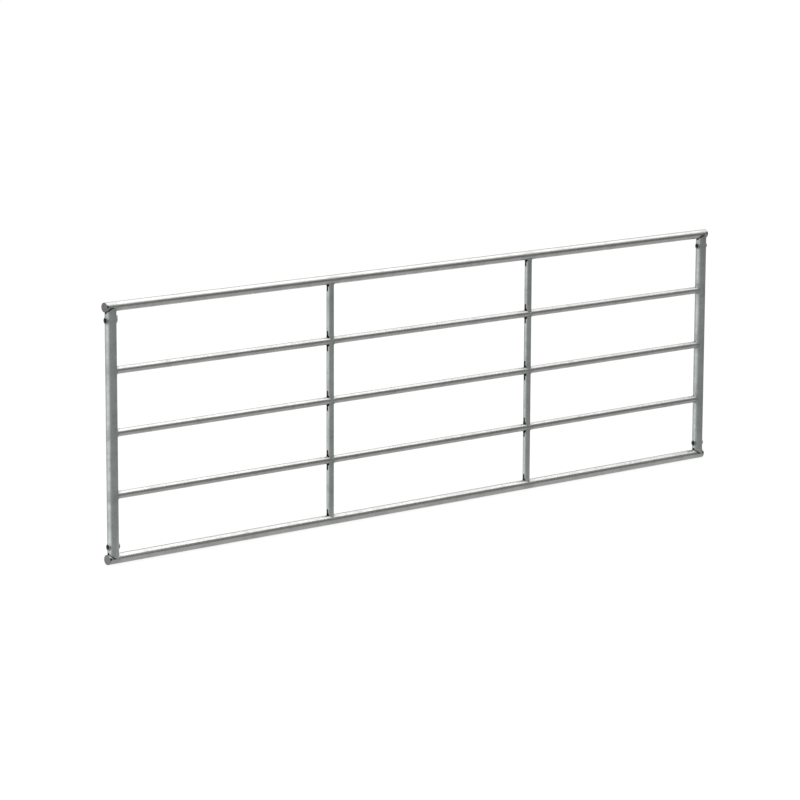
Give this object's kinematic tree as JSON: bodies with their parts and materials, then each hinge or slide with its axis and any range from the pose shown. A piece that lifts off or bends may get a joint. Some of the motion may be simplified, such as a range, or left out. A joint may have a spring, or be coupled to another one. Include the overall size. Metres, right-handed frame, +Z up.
{
  "type": "livestock panel gate",
  "caption": "Long tubular livestock gate: round rails between end uprights with bored hinge sleeves, braced by short upright pieces, in galvanised steel.",
  "frame": {"origin": "on the ground line, half way along the top and bottom rails with their caps: the lowest line of the bottom rail is at Z = 0", "axes": "+X along the gate towards its right end, +Y through its thickness towards the back, +Z up"},
  "size_m": [3.661, 0.0508, 1.1445],
  "materials": {
    "outer_rail": "hot-dip galvanised, satin with a faint spangle",
    "mid_rail": "hot-dip galvanised, satin with a faint spangle",
    "end_upright": "hot-dip galvanised, satin with a faint spangle",
    "inner_upright": "hot-dip galvanised, satin with a faint spangle",
    "end_cap": "hot-dip galvanised, satin with a faint spangle",
    "hinge_sleeve": "hot-dip galvanised, satin with a faint spangle"
  },
  "bodies": {
    "root": {"top_rail": "outer_rail", "upper_mid_rail": "mid_rail", "middle_mid_rail": "mid_rail", "lower_mid_rail": "mid_rail", "bottom_rail": "outer_rail", "left_end_upright": "end_upright", "right_end_upright": "end_upright", "left_brace_top": "inner_upright", "left_brace_upper": "inner_upright", "left_brace_lower": "inner_upright", "left_brace_bottom": "inner_upright", "right_brace_top": "inner_upright", "right_brace_upper": "inner_upright", "right_brace_lower": "inner_upright", "right_brace_bottom": "inner_upright", "cap_top_left": "end_cap", "cap_top_right": "end_cap", "cap_bottom_left": "end_cap", "cap_bottom_right": "end_cap", "hinge_sleeve_top_left": "hinge_sleeve", "hinge_sleeve_top_right": "hinge_sleeve", "hinge_sleeve_bottom_left": "hinge_sleeve", "hinge_sleeve_bottom_right": "hinge_sleeve"}
  },
  "joints": []
}
